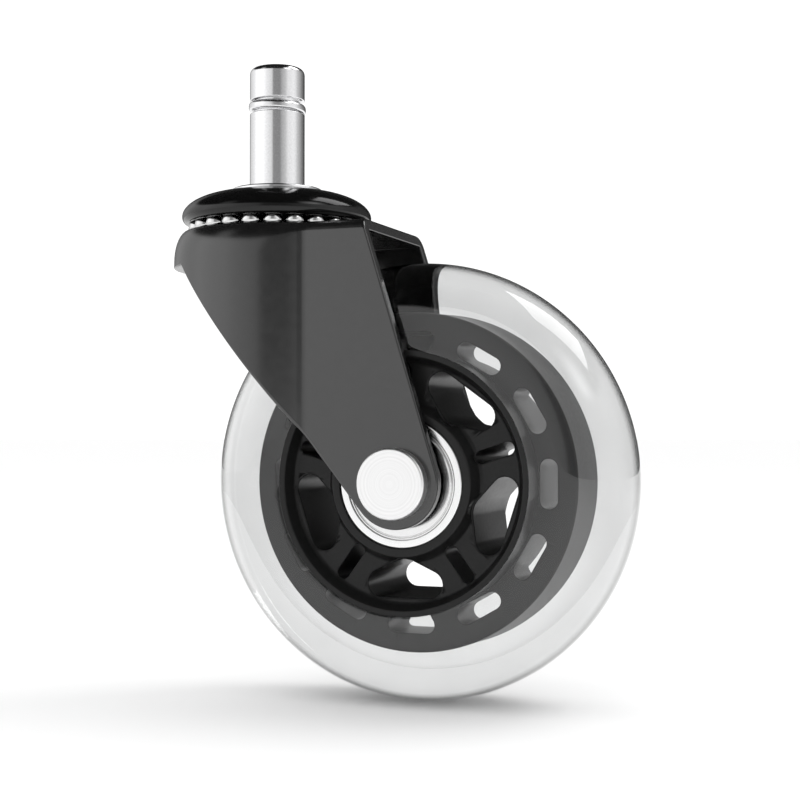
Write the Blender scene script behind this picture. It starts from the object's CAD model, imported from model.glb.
import math

import bmesh
import bpy
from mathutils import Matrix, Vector
from mathutils.geometry import tessellate_polygon


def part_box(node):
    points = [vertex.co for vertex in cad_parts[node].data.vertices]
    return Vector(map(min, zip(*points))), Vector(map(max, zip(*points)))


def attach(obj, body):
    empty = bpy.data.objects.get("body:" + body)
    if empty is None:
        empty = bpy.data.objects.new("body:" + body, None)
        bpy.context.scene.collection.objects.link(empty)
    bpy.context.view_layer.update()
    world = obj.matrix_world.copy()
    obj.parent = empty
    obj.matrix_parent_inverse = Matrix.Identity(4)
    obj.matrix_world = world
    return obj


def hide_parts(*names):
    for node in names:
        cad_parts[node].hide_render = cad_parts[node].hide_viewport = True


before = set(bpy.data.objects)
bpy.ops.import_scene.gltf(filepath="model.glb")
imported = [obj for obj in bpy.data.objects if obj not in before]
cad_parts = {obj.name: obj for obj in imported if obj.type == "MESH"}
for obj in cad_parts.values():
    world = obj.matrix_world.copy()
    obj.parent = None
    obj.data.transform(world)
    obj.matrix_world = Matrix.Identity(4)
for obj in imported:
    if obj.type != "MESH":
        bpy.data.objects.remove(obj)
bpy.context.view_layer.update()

MM = 0.001
hub_low, hub_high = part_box("hub")
AXLE_X = (hub_low.x + hub_high.x) / 2
AXLE_Z = (hub_low.z + hub_high.z) / 2
FLOOR_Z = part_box("tyre")[0].z
TAU = 2 * math.pi

# Camera: turned by YAW from the near side, looking up by PITCH, at CAMERA_OFFSET from the axle (metres)
YAW = math.radians(20.916)
PITCH = math.radians(1.083)
LENS_MM = 66.76
CAMERA_OFFSET = (0.08907, -0.24473, 0.00928)

# Ball rows under the cap and under the crown: (balls, pitch radius, ball radius, height), in millimetres
UPPER_ROW = (24, 14.45, 1.7, -7.6)
LOWER_ROW = (17, 9, 1.5, -11.4)
UPPER_GROOVE_R = 1.72
LOWER_GROOVE_R = 1.55

# Stem and grip ring, in millimetres
STEM_R = 5.0
STEM_TOP = 22.0
RING_MIDDLE = 14.8
RING_HALF_H = 0.8

# Wheel, in millimetres: radii, and distances out from the wheel's middle
AXLE_R = 4.0
BEARING_R = 11.0
BEARING_FACES = (4.6, 11.6)
BALL_PITCH_R = 7.5
HUB_HALF_W = 11.8
WEB_HALF_W = 9.4
FACE_R = 22.5
FLANGE_R = 29.0
FLANGE_HALF_W = 5.4
WHEEL_HALF_W = 12.0
TREAD_FROM_R = 27.0
TREAD_DEPTH = 11.1
TREAD_POWER = 2.1
HUB_SHARP = 32


# ---- Mesh helpers: lengths in millimetres, turned into metres when a vertex is placed ----
def on_stem(r, angle, h):
    """A point at radius r and height h about the stem."""
    return Vector((r * math.cos(angle), r * math.sin(angle), h)) * MM


def on_axle(r, angle, h):
    """A point at radius r about the axle, h out from the wheel's middle towards the near side."""
    return Vector((AXLE_X + r * math.cos(angle) * MM, -h * MM, AXLE_Z + r * math.sin(angle) * MM))


def on_far_axle(r, angle, h):
    """The same, on the far side."""
    return Vector((AXLE_X + r * math.cos(angle) * MM, h * MM, AXLE_Z + r * math.sin(angle) * MM))


def rounded(corners, step=15):
    """The closed outline through corners [(a, b, radius)], each corner rounded to its radius."""
    points = []
    for i, (a, b, radius) in enumerate(corners):
        here = Vector((a, b))
        back = Vector(corners[i - 1][:2]) - here
        on = Vector(corners[(i + 1) % len(corners)][:2]) - here
        if radius <= 0:
            points.append((a, b))
            continue
        back.normalize()
        on.normalize()
        half = math.acos(max(-1.0, min(1.0, back.dot(on)))) / 2
        middle = here + (back + on).normalized() * (radius / math.sin(half))
        start = here + back * (radius / math.tan(half)) - middle
        end = here + on * (radius / math.tan(half)) - middle
        sweep = start.angle_signed(end)
        count = max(2, math.ceil(abs(math.degrees(sweep)) / step))
        for k in range(count + 1):
            t = -sweep * k / count
            turned = Vector((
                start.x * math.cos(t) - start.y * math.sin(t),
                start.x * math.sin(t) + start.y * math.cos(t),
            ))
            points.append(tuple(middle + turned))
    return points


def finish_mesh(name, bm, sharp=35):
    """A smooth-shaded object from bm, with edges over sharp degrees kept crisp."""
    bmesh.ops.recalc_face_normals(bm, faces=bm.faces)
    mesh = bpy.data.meshes.new(name)
    bm.to_mesh(mesh)
    bm.free()
    mesh.shade_smooth()
    mesh.set_sharp_from_angle(angle=math.radians(sharp))
    piece = bpy.data.objects.new(name, mesh)
    bpy.context.scene.collection.objects.link(piece)
    weigh(piece)
    return piece


def weigh(piece):
    """Lets large flat faces keep their own shading next to narrow rounded edges."""
    modifier = piece.modifiers.new("weigh", "WEIGHTED_NORMAL")
    modifier.keep_sharp = True
    modifier.mode = "FACE_AREA"


def add_lathe(bm, profile, place, turns, closed):
    """Turns a profile of (r, h) about an axis into bm. A point with r 0 becomes a pole."""
    rings = []
    for r, h in profile:
        if r < 1e-6:
            rings.append([bm.verts.new(place(0, 0, h))])
        else:
            rings.append([bm.verts.new(place(r, TAU * k / turns, h)) for k in range(turns)])
    pairs = list(zip(rings, rings[1:]))
    if closed:
        pairs.append((rings[-1], rings[0]))
    for a, b in pairs:
        for k in range(turns):
            n = (k + 1) % turns
            corners = [a[k % len(a)], a[n % len(a)], b[n % len(b)], b[k % len(b)]]
            face = [v for i, v in enumerate(corners) if v is not corners[i - 1]]
            if len(face) > 2:
                bm.faces.new(face)


def lathe(name, profile, place, turns=160, closed=True, sharp=35):
    bm = bmesh.new()
    add_lathe(bm, profile, place, turns, closed)
    return finish_mesh(name, bm, sharp)


# ---- Camera ----
def add_camera():
    level = math.cos(PITCH)
    ahead = Vector((-math.sin(YAW) * level, math.cos(YAW) * level, math.sin(PITCH)))
    data = bpy.data.cameras.new("camera")
    data.sensor_width = 36
    data.lens = LENS_MM
    data.clip_start = 0.01
    data.clip_end = 50
    camera = bpy.data.objects.new("camera", data)
    bpy.context.scene.collection.objects.link(camera)
    camera.location = Vector((AXLE_X, 0, AXLE_Z)) + Vector(CAMERA_OFFSET)
    camera.rotation_mode = "QUATERNION"
    camera.rotation_quaternion = ahead.to_track_quat("-Z", "Y")
    bpy.context.scene.camera = camera


# ---- Materials ----
def new_material(name):
    material = bpy.data.materials.new(name)
    material.use_nodes = True
    nodes = material.node_tree.nodes
    return material, nodes, material.node_tree.links, nodes["Principled BSDF"]


def add_noise(nodes, links, scale, detail=3.0):
    """A noise texture in the object's own millimetres: scale is grains per millimetre."""
    coords = nodes.new("ShaderNodeTexCoord")
    mapping = nodes.new("ShaderNodeMapping")
    mapping.inputs["Scale"].default_value = (1000, 1000, 1000)
    noise = nodes.new("ShaderNodeTexNoise")
    noise.inputs["Scale"].default_value = scale
    noise.inputs["Detail"].default_value = detail
    links.new(coords.outputs["Object"], mapping.inputs["Vector"])
    links.new(mapping.outputs["Vector"], noise.inputs["Vector"])
    return noise


def add_ramp(nodes, links, factor, stops, target):
    """Colours or greys from factor by stops [(place, value)], into target."""
    ramp = nodes.new("ShaderNodeValToRGB")
    while len(ramp.color_ramp.elements) < len(stops):
        ramp.color_ramp.elements.new(0.5)
    for element, (place, value) in zip(ramp.color_ramp.elements, stops):
        element.position = place
        grey = (value, value, value) if isinstance(value, (int, float)) else value
        element.color = (*grey, 1)
    links.new(factor, ramp.inputs["Fac"])
    links.new(ramp.outputs["Color"], target)
    return ramp


def add_bump(nodes, links, height, shader, strength, distance_mm):
    bump = nodes.new("ShaderNodeBump")
    bump.inputs["Strength"].default_value = strength
    bump.inputs["Distance"].default_value = distance_mm * MM
    links.new(height, bump.inputs["Height"])
    links.new(bump.outputs["Normal"], shader.inputs["Normal"])


def steel(name, tone, rough, grain, bump=0.05):
    """Plated or ground steel: its grain shifts the tone and the roughness a little."""
    material, nodes, links, shader = new_material(name)
    shader.inputs["Metallic"].default_value = 1.0
    noise = add_noise(nodes, links, grain, 4.0)
    low = tuple(k - 0.04 for k in tone)
    high = tuple(k + 0.04 for k in tone)
    add_ramp(nodes, links, noise.outputs["Fac"], [(0.3, low), (0.7, high)], shader.inputs["Base Color"])
    rough_stops = [(0.3, rough * 0.8), (0.7, rough * 1.25)]
    add_ramp(nodes, links, noise.outputs["Fac"], rough_stops, shader.inputs["Roughness"])
    if bump:
        add_bump(nodes, links, noise.outputs["Fac"], shader, bump, 0.01)
    return material


def black_paint(name, tone, rough, grain, ior, bump=0.0):
    """Black coating or moulded black, with the faint unevenness of its surface in tone and gloss."""
    material, nodes, links, shader = new_material(name)
    shader.inputs["IOR"].default_value = ior
    noise = add_noise(nodes, links, grain)
    stops = [(0.3, tone * 0.85), (0.7, tone * 1.15)]
    add_ramp(nodes, links, noise.outputs["Fac"], stops, shader.inputs["Base Color"])
    rough_stops = [(0.3, rough * 0.92), (0.7, rough * 1.08)]
    add_ramp(nodes, links, noise.outputs["Fac"], rough_stops, shader.inputs["Roughness"])
    if bump:
        add_bump(nodes, links, noise.outputs["Fac"], shader, bump, 0.02)
    return material


def clear_polyurethane(name):
    """Cast clear polyurethane under a glossy skin, with a faint cloudiness in its tone."""
    material, nodes, links, shader = new_material(name)
    shader.inputs["Transmission Weight"].default_value = 1.0
    shader.inputs["IOR"].default_value = 1.15
    shader.inputs["Roughness"].default_value = 0.0
    shader.inputs["Coat Weight"].default_value = 1.0
    shader.inputs["Coat IOR"].default_value = 1.6
    shader.inputs["Coat Roughness"].default_value = 0.01
    noise = add_noise(nodes, links, 0.12, 2.0)
    tints = [(0.3, (0.68, 0.685, 0.685)), (0.7, (0.73, 0.735, 0.735))]
    deepen = nodes.new("ShaderNodeMix")
    deepen.data_type = "RGBA"
    deepen.blend_type = "MULTIPLY"
    deepen.inputs["Factor"].default_value = 1.0
    add_ramp(nodes, links, noise.outputs["Fac"], tints, deepen.inputs["A"])
    # light that leaves at a glancing angle has come a longer way through the resin
    glance = nodes.new("ShaderNodeLayerWeight")
    glance.inputs["Blend"].default_value = 0.5
    add_ramp(nodes, links, glance.outputs["Facing"], [(0.58, 1.0), (0.76, 0.08)], deepen.inputs["B"])
    links.new(deepen.outputs["Result"], shader.inputs["Base Color"])
    return material


def turned_face(name):
    """The axle head's bright face, with the fine rings that a lathe tool leaves."""
    material, nodes, links, shader = new_material(name)
    shader.inputs["Metallic"].default_value = 1.0
    coords = nodes.new("ShaderNodeTexCoord")
    shift = nodes.new("ShaderNodeVectorMath")
    shift.operation = "SUBTRACT"
    shift.inputs[1].default_value = (AXLE_X, 0, AXLE_Z)
    flat = nodes.new("ShaderNodeVectorMath")
    flat.operation = "MULTIPLY"
    flat.inputs[1].default_value = (1000, 0, 1000)
    length = nodes.new("ShaderNodeVectorMath")
    length.operation = "LENGTH"
    links.new(coords.outputs["Object"], shift.inputs[0])
    links.new(shift.outputs["Vector"], flat.inputs[0])
    links.new(flat.outputs["Vector"], length.inputs[0])
    noise = nodes.new("ShaderNodeTexNoise")
    noise.noise_dimensions = "1D"
    noise.inputs["Scale"].default_value = 3.2
    noise.inputs["Detail"].default_value = 6.0
    noise.inputs["Roughness"].default_value = 0.7
    links.new(length.outputs["Value"], noise.inputs["W"])
    stops = [(0.3, 0.8), (0.5, 0.87), (0.7, 0.93)]
    add_ramp(nodes, links, noise.outputs["Fac"], stops, shader.inputs["Base Color"])
    add_ramp(nodes, links, noise.outputs["Fac"], [(0.3, 0.3), (0.7, 0.45)], shader.inputs["Roughness"])
    add_bump(nodes, links, noise.outputs["Fac"], shader, 0.07, 0.02)
    return material


def paint(piece, material):
    piece.data.materials.clear()
    piece.data.materials.append(material)


# ---- Stage: floor, sky and lamps ----
def add_floor():
    bm = bmesh.new()
    bmesh.ops.create_circle(bm, cap_ends=True, segments=96, radius=6.0)
    floor = finish_mesh("floor", bm)
    floor.location.z = FLOOR_Z - 0.00005
    material, nodes, links, shader = new_material("floor_white")
    shader.inputs["Base Color"].default_value = (0.96, 0.96, 0.96, 1)
    shader.inputs["Roughness"].default_value = 0.7
    shader.inputs["Specular IOR Level"].default_value = 0.1
    paint(floor, material)


def azimuth_ramp(nodes, links, turn, stops):
    """Brightness by direction: turn goes from 0 behind, through 0.5 at the front, to 1 behind again."""
    ramp = nodes.new("ShaderNodeValToRGB")
    while len(ramp.color_ramp.elements) < len(stops):
        ramp.color_ramp.elements.new(0.5)
    for element, (degrees, value) in zip(ramp.color_ramp.elements, stops):
        element.position = (degrees + 180) / 360
        element.color = (value, value, value, 1)
    links.new(turn, ramp.inputs["Fac"])
    return ramp


def blend_by_height(nodes, links, parts, span, below):
    """Colour below the heights in span, giving way to the mix node's input B above them."""
    rise = nodes.new("ShaderNodeMapRange")
    rise.interpolation_type = "SMOOTHSTEP"
    rise.inputs["From Min"].default_value = span[0]
    rise.inputs["From Max"].default_value = span[1]
    links.new(parts.outputs["Z"], rise.inputs["Value"])
    mix = nodes.new("ShaderNodeMix")
    mix.data_type = "RGBA"
    links.new(rise.outputs["Result"], mix.inputs["Factor"])
    links.new(below, mix.inputs["A"])
    return mix


def add_sky():
    """A white studio, with darker and lighter walls and a lamp or two that only reflections see."""
    world = bpy.data.worlds.new("studio")
    bpy.context.scene.world = world
    world.use_nodes = True
    world.cycles.sampling_method = "NONE"
    nodes, links = world.node_tree.nodes, world.node_tree.links
    nodes.clear()
    out = nodes.new("ShaderNodeOutputWorld")
    coords = nodes.new("ShaderNodeTexCoord")
    parts = nodes.new("ShaderNodeSeparateXYZ")
    links.new(coords.outputs["Generated"], parts.inputs["Vector"])
    flip = nodes.new("ShaderNodeMath")
    flip.operation = "MULTIPLY"
    flip.inputs[1].default_value = -1
    links.new(parts.outputs["Y"], flip.inputs[0])
    turn = nodes.new("ShaderNodeMath")
    turn.operation = "ARCTAN2"
    links.new(parts.outputs["X"], turn.inputs[0])
    links.new(flip.outputs["Value"], turn.inputs[1])
    part_turn = nodes.new("ShaderNodeMapRange")
    part_turn.inputs["From Min"].default_value = -math.pi
    part_turn.inputs["From Max"].default_value = math.pi
    links.new(turn.outputs["Value"], part_turn.inputs["Value"])
    # (degrees from the front, positive to the right; brightness)
    walls = azimuth_ramp(nodes, links, part_turn.outputs["Result"], [
        (-180, 0.03), (-146, 0.05), (-118, 0.75), (-99, 0.92), (-84, 1.06), (-70, 1.4), (-34, 1.3),
        (-22, 1.08), (3, 0.8), (9, 0.3), (36, 0.28), (45, 0.48), (60, 0.64), (70, 0.92), (97, 1.05),
        (108, 0.94), (120, 0.64), (133, 0.48), (150, 0.25), (180, 0.04),
    ])
    lamps = azimuth_ramp(nodes, links, part_turn.outputs["Result"], [
        (-62, 0.02), (-50, 0.6), (-40, 0.6), (-30, 0.02), (52, 0.02), (72, 3.2), (78, 3.2), (98, 0.02),
    ])
    ceiling = blend_by_height(nodes, links, parts, (0.6, 0.84), lamps.outputs["Color"])
    ceiling.inputs["B"].default_value = (0.015, 0.015, 0.015, 1)
    studio = blend_by_height(nodes, links, parts, (0.46, 0.56), walls.outputs["Color"])
    links.new(ceiling.outputs["Result"], studio.inputs["B"])
    inside = nodes.new("ShaderNodeBackground")
    links.new(studio.outputs["Result"], inside.inputs["Color"])
    white = nodes.new("ShaderNodeBackground")
    white.inputs["Color"].default_value = (1.12, 1.12, 1.12, 1)
    path = nodes.new("ShaderNodeLightPath")
    both = nodes.new("ShaderNodeMixShader")
    mirrored = nodes.new("ShaderNodeMath")
    mirrored.operation = "MULTIPLY"
    links.new(path.outputs["Is Glossy Ray"], mirrored.inputs[0])
    links.new(path.outputs["Is Reflection Ray"], mirrored.inputs[1])
    links.new(mirrored.outputs["Value"], both.inputs["Fac"])
    links.new(white.outputs["Background"], both.inputs[1])
    links.new(inside.outputs["Background"], both.inputs[2])
    links.new(both.outputs["Shader"], out.inputs["Surface"])


def add_lamp(name, place, target, size, power):
    data = bpy.data.lights.new(name, "AREA")
    data.shape = "RECTANGLE"
    data.size, data.size_y = size
    data.energy = power
    lamp = bpy.data.objects.new(name, data)
    bpy.context.scene.collection.objects.link(lamp)
    lamp.location = place
    lamp.rotation_mode = "QUATERNION"
    lamp.rotation_quaternion = (Vector(target) - Vector(place)).to_track_quat("-Z", "Y")
    return lamp


# ---- Stem side ----
def stem_outline():
    return rounded([
        (0, STEM_TOP, 0), (STEM_R, STEM_TOP, 1.2), (STEM_R, 16, 0.18), (4.2, 16, 0.1), (4.2, 13.6, 0.1),
        (STEM_R, 13.6, 0.18), (STEM_R, 0, 0.25), (5.6, 0, 0), (8.2, -0.25, 0.28), (8.2, -0.8, 0.05),
        (5.5, -0.8, 0), (5.5, -12.2, 0), (4.5, -12.2, 0), (4.5, -14.2, 0), (6, -14.2, 0.25),
        (4.8, -15.9, 0.5), (0, -15.9, 0),
    ])


def make_stem():
    stem = lathe("stem_turned", stem_outline(), on_stem, closed=False)
    paint(stem, steel("stem_plating", (0.8, 0.8, 0.81), 0.12, grain=3.5, bump=0.1))
    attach(stem, "stem_body")
    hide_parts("stem")


def make_grip_ring():
    """A split spring ring, which sits a little tilted in its groove."""
    half = RING_HALF_H
    section = rounded([(4.3, -half, 0.1), (5.2, -half, 0.35), (5.2, half, 0.8), (4.3, half, 0.1)])
    gap, steps, tilt = 24, 120, 0.045
    bm = bmesh.new()
    rows = []
    for k in range(steps + 1):
        angle = math.radians(180 + gap / 2 + (360 - gap) * k / steps)
        row = []
        for r, h in section:
            # the tilt lowers the side towards +X and +Y, across the camera's line of sight
            lift = -tilt * r * math.cos(angle - YAW)
            row.append(bm.verts.new(on_stem(r, angle, RING_MIDDLE + h + lift)))
        rows.append(row)
    for a, b in zip(rows, rows[1:]):
        join_loops(bm, a, b)
    bm.faces.new(rows[0])
    bm.faces.new(rows[-1])
    ring = finish_mesh("grip_ring_sprung", bm)
    paint(ring, steel("spring_wire", (0.78, 0.78, 0.79), 0.2, grain=12.0))
    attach(ring, "stem_body")
    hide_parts("grip_ring")


def ellipse_arc(centre, semi, start, end, steps):
    points = []
    for k in range(steps + 1):
        t = math.radians(start + (end - start) * k / steps)
        points.append((centre[0] + semi[0] * math.cos(t), centre[1] + semi[1] * math.sin(t)))
    return points


def make_top_cap():
    centre = (6, -5.5)
    outline = [(5.5, -0.8)]
    outline += ellipse_arc(centre, (11.2, 4.7), 90, 0, 40)
    outline += ellipse_arc((16.1, -5.5), (1.1, 1.3), -9, -150, 14)
    outline += [(15.85, -6.0)]
    outline += ellipse_arc(centre, (9.9, 3.5), 0, 90, 24)
    outline += [(5.5, -2.0)]
    cap = lathe("top_cap_pressed", outline, on_stem, turns=240, sharp=50)
    paint(cap, black_paint("cap_enamel", 0.003, 0.12, grain=1.2, ior=1.42))
    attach(cap, "stem_body")
    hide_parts("top_cap")


def make_ball_ring(name, node, body, row):
    """A ring of bearing balls about the stem, each a finely divided sphere."""
    count, pitch, radius, height = row
    bm = bmesh.new()
    for i in range(count):
        turn = TAU * (i + 0.5) / count
        made = bmesh.ops.create_icosphere(bm, subdivisions=4, radius=radius * MM)
        middle = on_stem(pitch, turn, height)
        bmesh.ops.translate(bm, vec=middle, verts=made["verts"])
    balls = finish_mesh(name, bm, sharp=180)
    paint(balls, steel(name + "_polish", (0.7, 0.7, 0.7), 0.04, grain=4.0, bump=0.0))
    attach(balls, body)
    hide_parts(node)


# ---- Fork ----
SHEET = 2.0
TOP = -8.2
CROWN_R = 18.6
ARM_Y = 14.6
NECK_R = 3.0
BOSS = (AXLE_X / MM, AXLE_Z / MM, 7.7)
LIP = (-12.0, -15.0)
REAR = (22.7, TOP)
EDGE_R = 0.35
HOLD = 0.12
FILLET_STEPS = 10
KINGPIN_HOLE_R = 5.58
AXLE_HOLE_R = 4.02


def tangent_normal(a, b):
    """The direction of the normal of the tangent from circle a to circle b, going anticlockwise."""
    dx, dz = b[0] - a[0], b[1] - a[1]
    return math.atan2(dz, dx) - math.pi / 2 + math.asin((a[2] - b[2]) / math.hypot(dx, dz))


def boss_point(angle, inset=0.0):
    r = BOSS[2] - inset
    return BOSS[0] + r * math.cos(angle), BOSS[1] + r * math.sin(angle)


FRONT_ANGLE = tangent_normal((*LIP, 0), BOSS)
REAR_ANGLE = tangent_normal(BOSS, (*REAR, 0))
FRONT_SLOPE = (boss_point(FRONT_ANGLE)[1] - LIP[1]) / (boss_point(FRONT_ANGLE)[0] - LIP[0])
REAR_SLOPE = (boss_point(REAR_ANGLE)[0] - REAR[0]) / (boss_point(REAR_ANGLE)[1] - REAR[1])


def ease(t):
    t = max(0.0, min(1.0, t))
    return t * t * (3 - 2 * t)


def fillet_size(x):
    """The fillet's width and depth under the flat top: deep on the crown, small on the arms."""
    t = ease((x - 3.0) / 9.5)
    return 2.5 - 0.1 * t, 5.6 - 3.4 * t


def plan_stations():
    """The fork's outline from above, front to near arm: (point, outward normal, whether it is in the lip)."""
    stations = []
    blend_x = math.sqrt((CROWN_R + NECK_R) ** 2 - (ARM_Y + NECK_R) ** 2)
    touch = math.atan2(ARM_Y + NECK_R, blend_x)
    lip_turn = math.acos(LIP[0] / CROWN_R)
    turns = [math.pi + (lip_turn - math.pi) * k / 24 for k in range(25)]
    turns += [lip_turn + (touch - lip_turn) * k / 40 for k in range(1, 41)]
    for t in turns:
        normal = Vector((math.cos(t), -math.sin(t)))
        stations.append((CROWN_R * normal, normal, t > lip_turn - 1e-6))
    start = math.pi - touch
    for k in range(1, 15):
        t = start + (math.pi / 2 - start) * k / 14
        n = Vector((math.cos(t), math.sin(t)))
        stations.append((Vector((blend_x, -(ARM_Y + NECK_R))) + n * NECK_R, -n, False))
    stations.append((Vector((blend_x + 0.4, -ARM_Y)), Vector((0, -1)), False))
    return stations


def low_edge(x):
    return LIP[1] + FRONT_SLOPE * (x - LIP[0]) if x > LIP[0] else LIP[1]


def x_rear(z):
    return REAR[0] + (z - REAR[1]) * REAR_SLOPE


def fillet_rows(a, b, depth):
    """(inset, drop) down the fillet at that depth under the outer face, with a short flat row at each end."""
    a, b = max(a - depth, 0.3), max(b - depth, 0.3)
    rows = [(depth + a + HOLD, depth)]
    for k in range(FILLET_STEPS + 1):
        t = math.pi / 2 * k / FILLET_STEPS
        rows.append((depth + a * (1 - math.sin(t)), depth + b * (1 - math.cos(t))))
    rows.append((depth, depth + b + HOLD))
    return rows


def rim_rows():
    """(inset from the cut edge, depth) across the sheet's rounded rim, from the outer face to the inner."""
    r = EDGE_R
    arc = [(r * (1 - math.sin(t)), r * (1 - math.cos(t))) for t in (0, 0.39, 0.79, 1.18, math.pi / 2)]
    outer = [(r + HOLD, 0.0)] + arc + [(0.0, r + HOLD)]
    return outer + [(e, SHEET - d) for e, d in reversed(outer)]


def station_point(station, inset, z):
    p = station[0] - station[1] * inset
    return Vector((p.x, p.y, z))


def station_rim(station, e, d):
    slope = 0.0 if station[2] else FRONT_SLOPE * abs(station[1].y)
    return station_point(station, d, low_edge(station[0].x) + e * math.hypot(1, slope))


def circle_loop(bm, place, r, h, turns):
    return [bm.verts.new(place(r, TAU * k / turns, h)) for k in range(turns)]


def fill_between(bm, outline, hole):
    """Flat faces between the loop outline and the hole inside it."""
    triangles = tessellate_polygon([[v.co for v in outline], [v.co for v in hole]])
    both = outline + hole
    for t in triangles:
        bm.faces.new([both[i] for i in t])


def join_loops(bm, a, b):
    for k in range(len(a)):
        n = (k + 1) % len(a)
        bm.faces.new((a[k], a[n], b[n], b[k]))


def add_plate(bm, outline, z, pitch, ball, level, hole_r):
    """A flat face from the loop outline to a round hole, with the groove that a ring of balls runs in."""
    turns = 120
    into = -1 if level > z else 1
    half = math.acos(abs(level - z) / ball)
    loops = []
    for k in range(17):
        t = half - 2 * half * k / 16
        r, h = pitch + ball * math.sin(t), level + into * ball * math.cos(t)
        loops.append(circle_loop(bm, on_stem, r, h, turns))
    loops.append(circle_loop(bm, on_stem, hole_r, z, turns))
    fill_between(bm, outline, loops[0])
    for a, b in zip(loops, loops[1:]):
        join_loops(bm, a, b)
    return loops[-1]


def fork_mesh():
    """The pressed fork: one sheet wrapped round a crown and two arms, with a rounded rim all round."""
    bm = bmesh.new()
    near = plan_stations()
    rims = rim_rows()
    rear_a, rear_b = fillet_size(30)

    def vert(p, flip):
        return bm.verts.new(Vector((p.x, -p.y if flip else p.y, p.z)) * MM)

    def column(station, flip):
        a, b = fillet_size(station[0].x)
        sides = []
        for depth in (0, SHEET):
            rows = fillet_rows(a, b, depth)
            sides.append([vert(station_point(station, inset, TOP - drop), flip) for inset, drop in rows])
        return sides + [[vert(station_rim(station, e, d), flip) for e, d in rims]]

    def arm_frames(flip):
        frames = []
        sweep = (REAR_ANGLE - FRONT_ANGLE) % TAU
        for k in range(49):
            t = FRONT_ANGLE + sweep * k / 48
            frame_rows = []
            for e, d in rims:
                x, z = boss_point(t, e)
                frame_rows.append(vert(Vector((x, d - ARM_Y, z)), flip))
            frames.append(frame_rows)
        return frames

    def rear_frames(flip):
        frames = []
        rows = fillet_rows(rear_a, rear_b, 0)
        for k in range(len(rows) - 1, -1, -1):
            inset, drop = rows[k]
            t = math.pi / 2 * max(0, min(FILLET_STEPS, k - 1)) / FILLET_STEPS
            frame_rows = []
            for e, d in rims:
                z = TOP - drop - d * math.cos(t)
                x = x_rear(z) - e * math.hypot(1, REAR_SLOPE)
                frame_rows.append(vert(Vector((x, inset + d * math.sin(t) - ARM_Y, z)), flip))
            frames.append(frame_rows)
        return frames

    columns = [column(s, True) for s in near[:0:-1]] + [column(s, False) for s in near]
    arms = [arm_frames(True), arm_frames(False)]
    rears = [rear_frames(True), rear_frames(False)]
    loop = [c[2] for c in columns] + arms[1] + rears[1] + rears[0][::-1] + arms[0][::-1]
    for a, b in zip(loop, loop[1:] + loop[:1]):
        for k in range(len(rims) - 1):
            bm.faces.new((a[k], a[k + 1], b[k + 1], b[k]))
    plate_holes, axle_holes = [], [[], []]
    for side, at in ((0, 0), (1, -1)):
        for a, b in zip(columns, columns[1:]):
            rows_a, rows_b = a[side] + [a[2][at]], b[side] + [b[2][at]]
            for k in range(len(rows_a) - 1):
                bm.faces.new((rows_a[k], rows_a[k + 1], rows_b[k + 1], rows_b[k]))
        for arm, end in ((0, columns[0]), (1, columns[-1])):
            edge = [frame_rows[at] for frame_rows in rears[arm][::-1]]
            rows = end[side]
            for k in range(len(rows) - 1):
                bm.faces.new((rows[k], rows[k + 1], edge[k + 1], edge[k]))
            outline = [rows[-1], end[2][at]] + [frame_rows[at] for frame_rows in arms[arm]] + [edge[-1]]
            level = outline[0].co.y / -MM
            hole = circle_loop(bm, on_axle, AXLE_HOLE_R, level, 64)
            fill_between(bm, outline, hole)
            axle_holes[arm].append(hole)
        outline = [c[side][0] for c in columns] + [rears[1][-1][at], rears[0][-1][at]]
        if side == 0:
            groove_at = (UPPER_ROW[1], UPPER_GROOVE_R, UPPER_ROW[3])
        else:
            groove_at = (LOWER_ROW[1], LOWER_GROOVE_R, LOWER_ROW[3])
        plate_holes.append(add_plate(bm, outline, TOP - side * SHEET, *groove_at, KINGPIN_HOLE_R))
    for pair in [plate_holes] + axle_holes:
        join_loops(bm, *pair)
    return bm


def make_fork():
    fork = finish_mesh("fork_pressed", fork_mesh(), sharp=50)
    paint(fork, black_paint("fork_coat", 0.007, 0.2, grain=0.6, ior=1.8))
    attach(fork, "fork_body")
    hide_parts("fork")


# ---- Axle and bearings ----
def make_axle():
    outline = rounded([
        (0, 16.7, 0), (6, 16.7, 0.45), (6, ARM_Y, 0.08), (AXLE_R, ARM_Y, 0), (AXLE_R, -15.4, 0),
        (5.6, -15.4, 0.15), (4.6, -17.2, 0.7), (0, -17.2, 0),
    ])
    axle = lathe("axle_pin", outline, on_axle, closed=False)
    paint(axle, turned_face("axle_turned"))
    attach(axle, "fork_body")
    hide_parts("axle")


def make_washer():
    outline = rounded([(AXLE_R, -15.4, 0.08), (6.4, -15.4, 0.2), (6.4, -ARM_Y, 0.1), (AXLE_R, -ARM_Y, 0.05)])
    washer = lathe("axle_washer_plated", outline, on_axle)
    paint(washer, steel("washer_zinc", (0.62, 0.63, 0.65), 0.3, grain=2.5, bump=0.12))
    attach(washer, "fork_body")
    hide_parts("axle_washer")


def groove(land, start, end):
    """The raceway between two heights on a race's land, as part of a circle about the ball."""
    middle = (start + end) / 2
    offset = land - BALL_PITCH_R
    reach = math.hypot(offset, start - middle)
    first = math.atan2(start - middle, offset)
    last = math.atan2(end - middle, offset)
    if offset < 0 and first * last < 0:
        last += math.copysign(TAU, first)
    turns = [first + (last - first) * k / 16 for k in range(17)]
    return [(BALL_PITCH_R + reach * math.cos(t), middle + reach * math.sin(t)) for t in turns]


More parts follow.
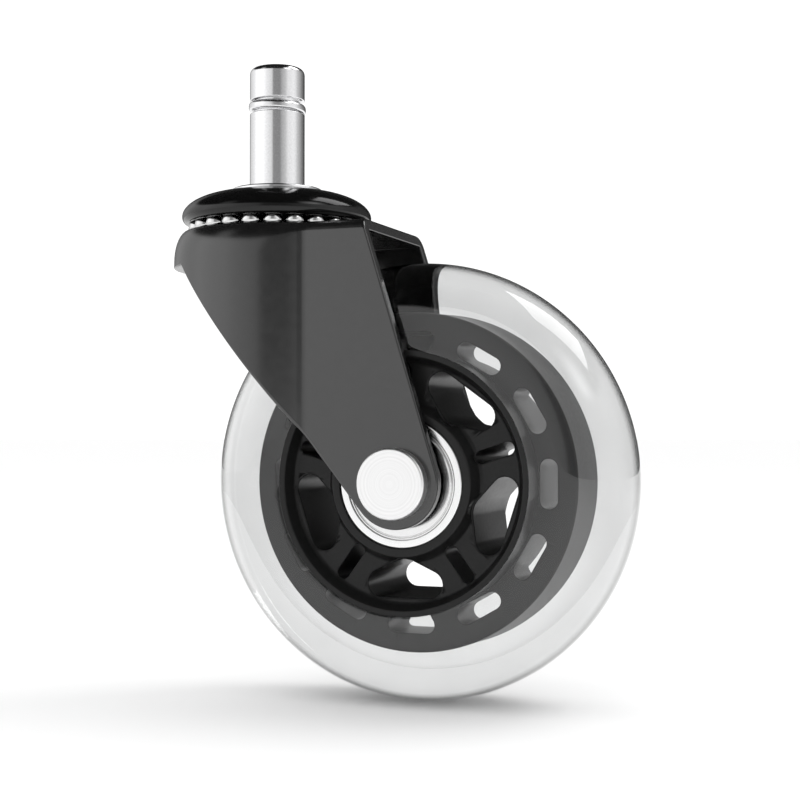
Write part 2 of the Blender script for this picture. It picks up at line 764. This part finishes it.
def make_bearing(side, place):
    """The rings and shields of one wheel bearing. Its balls and cage stay as the CAD has them."""
    bright = steel(side + "_ring_ground", (0.86, 0.86, 0.86), 0.2, grain=7.0, bump=0.05)
    back, front = BEARING_FACES
    middle = (back + front) / 2
    outer = rounded([
        (9.6, back + 0.6, 0), (9.6, back, 0.15), (BEARING_R, back, 0.35), (BEARING_R, front, 0.35),
        (9.6, front, 0.12), (9.6, front - 0.6, 0), (8.9, front - 0.6, 0),
    ])
    outer += groove(8.9, middle + 1.456, middle - 1.456) + [(8.9, back + 0.6)]
    ring = lathe(side + "_outer_ring", outer, place)
    paint(ring, bright)
    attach(ring, "wheel_body")
    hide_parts(side + "_outer_race")
    inner = rounded([(AXLE_R, front, 0.2), (AXLE_R, back, 0.2), (6.05, back, 0.15)])
    inner += groove(6.05, middle - 1.406, middle + 1.406) + [(6.05, front - 0.15), (5.9, front)]
    sleeve = lathe(side + "_inner_ring", inner, place)
    paint(sleeve, bright)
    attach(sleeve, "fork_body")
    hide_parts(side + "_inner_race")
    # a pressed shield: a flat dish with a rolled rim, in the seat of the outer ring
    dish = [(6.6, 0.2, 0.08), (6.6, 0.0, 0.08), (9.55, 0.0, 0.05), (9.55, 0.4, 0.1), (9.28, 0.4, 0.08),
            (9.12, 0.2, 0.08), (8.95, 0.4, 0.12), (7.2, 0.4, 0.2), (6.9, 0.2, 0.1)]
    for name, base, way in (("outer", front - 0.6, 1), ("inner", back + 0.6, -1)):
        outline = [(r, base + way * h) for r, h in rounded(dish)]
        shield = lathe(side + "_" + name + "_dish", outline, place)
        paint(shield, steel(side + "_" + name + "_pressed", (0.8, 0.8, 0.8), 0.14, grain=5.0, bump=0.05))
        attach(shield, "wheel_body")
        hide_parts(side + "_" + name + "_shield")


# ---- Wheel ----
def band_outline(circles, grow, steps=10):
    """The outline of a tight band round circles (a, b, r), each grown by grow."""
    points = []
    count = len(circles)
    for i, c in enumerate(circles):
        first = tangent_normal(circles[i - 1], c)
        last = tangent_normal(c, circles[(i + 1) % count])
        sweep = (last - first) % TAU
        for k in range(steps + 1):
            t = first + sweep * k / steps
            r = c[2] + grow
            points.append((c[0] + r * math.cos(t), c[1] + r * math.sin(t)))
    return points


def flared_cutter(bm, circles, face, flare, turn):
    """A cutter right through the hub, opening out by flare where it meets the faces at +face and -face."""
    levels = [(13.0, flare)]
    levels += [(face - flare + flare * math.sin(t), flare * (1 - math.cos(t)))
               for t in (math.pi / 2, 1.26, 0.94, 0.63, 0.31, 0)]
    levels += [(-h, g) for h, g in reversed(levels)]
    loops = []
    for h, grow in levels:
        loop = []
        for a, b in band_outline(circles, grow):
            x = a * math.cos(turn) - b * math.sin(turn)
            z = a * math.sin(turn) + b * math.cos(turn)
            loop.append(bm.verts.new((AXLE_X + x * MM, -h * MM, AXLE_Z + z * MM)))
        loops.append(loop)
    for a, b in zip(loops, loops[1:]):
        join_loops(bm, a, b)
    bm.faces.new(loops[0])
    bm.faces.new(loops[-1])


def capsule(r, along, width, tangential):
    """The two end circles of a slot at radius r, its length lying across the radius if tangential."""
    reach = along / 2 - width / 2
    if tangential:
        return [(r, -reach, width / 2), (r, reach, width / 2)]
    return [(r - reach, 0, width / 2), (r + reach, 0, width / 2)]


def hub_cutters():
    bm = bmesh.new()
    window = [(16.3, 0, 3.4), (17.1, -4.4, 2.3), (17.1, 4.4, 2.3)]
    for i in range(5):
        flared_cutter(bm, window, WEB_HALF_W, 0.3, math.radians(-90 + 72 * i))
        flared_cutter(bm, capsule(16.75, 7, 2.2, False), WEB_HALF_W, 0.15, math.radians(90 + 72 * i))
    for i in range(12):
        flared_cutter(bm, capsule(24.3, 8.4, 3, True), FLANGE_HALF_W, 0.15, math.radians(30 * i))
    return bm


def cut(piece, cutter):
    """Takes cutter away from piece for good."""
    modifier = piece.modifiers.new("cut", "BOOLEAN")
    modifier.operation = "DIFFERENCE"
    modifier.solver = "EXACT"
    modifier.object = cutter
    graph = bpy.context.evaluated_depsgraph_get()
    made = bpy.data.meshes.new_from_object(piece.evaluated_get(graph))
    piece.modifiers.clear()
    old = piece.data
    piece.data = made
    bpy.data.meshes.remove(old)
    bpy.data.objects.remove(cutter)


def make_hub():
    half = [
        (9.5, BEARING_FACES[0], 0), (BEARING_R, BEARING_FACES[0], 0), (BEARING_R, HUB_HALF_W, 0.2),
        (12.4, HUB_HALF_W, 0.35), (13.6, WEB_HALF_W, 0.8), (20.4, WEB_HALF_W, 0.8), (21.4, HUB_HALF_W, 0.3),
        (FACE_R, HUB_HALF_W, 0.2), (FACE_R, FLANGE_HALF_W, 0.15), (FLANGE_R, FLANGE_HALF_W, 0.4),
    ]
    outline = rounded(half + [(r, -h, q) for r, h, q in reversed(half)])
    hub = lathe("hub_moulded", outline, on_axle, turns=240)
    cut(hub, finish_mesh("hub_cutter", hub_cutters()))
    hub.data.shade_smooth()
    hub.data.set_sharp_from_angle(angle=math.radians(HUB_SHARP))
    weigh(hub)
    paint(hub, black_paint("hub_nylon", 0.009, 0.35, grain=1.5, ior=1.32, bump=0.01))
    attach(hub, "wheel_body")
    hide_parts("hub")


def make_tyre():
    """Cast clear. Its inner face lies just inside the hub's, so light meets no air gap between them."""
    outline = [(22.4, 11.76), (22.56, 11.84), (22.75, 11.93), (23.1, WHEEL_HALF_W)]
    outline += [(23.5 + 3.5 * k / 4, WHEEL_HALF_W) for k in range(4)]
    bulge = 2 / TREAD_POWER
    for k in range(41):
        t = math.pi / 2 * k / 40
        r = TREAD_FROM_R + TREAD_DEPTH * math.sin(t) ** bulge
        outline.append((r, WHEEL_HALF_W * math.cos(t) ** bulge))
    outline += [(r, -h) for r, h in reversed(outline[:-1])]
    tyre = lathe("tyre_cast", outline, on_axle, turns=288)
    paint(tyre, clear_polyurethane("clear_cast"))
    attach(tyre, "wheel_body")
    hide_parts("tyre")


# ---- CAD nodes that stay as they are ----
def dress_cad():
    roughness = {
        "lower_race": 0.3, "upper_race": 0.3, "bearing_spacer": 0.35, "near_spacer": 0.3, "far_spacer": 0.3,
        "near_bearing_balls": 0.08, "far_bearing_balls": 0.08, "near_ball_cage": 0.35, "far_ball_cage": 0.35,
    }
    for node, rough in roughness.items():
        paint(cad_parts[node], steel(node + "_steel", (0.7, 0.7, 0.7), rough, grain=5.0))


# ---- Putting it together ----
add_camera()
add_floor()
add_sky()
add_lamp("key", (0.35, 0.25, 0.5), (AXLE_X, 0, AXLE_Z), (0.35, 0.35), 1.2)
bpy.context.scene.view_settings.view_transform = "Standard"
make_stem()
make_grip_ring()
make_top_cap()
make_ball_ring("upper_ball_row", "upper_balls", "upper_ball_ring", UPPER_ROW)
make_ball_ring("lower_ball_row", "lower_balls", "lower_ball_ring", LOWER_ROW)
make_fork()
make_axle()
make_washer()
make_bearing("near", on_axle)
make_bearing("far", on_far_axle)
make_hub()
make_tyre()
dress_cad()
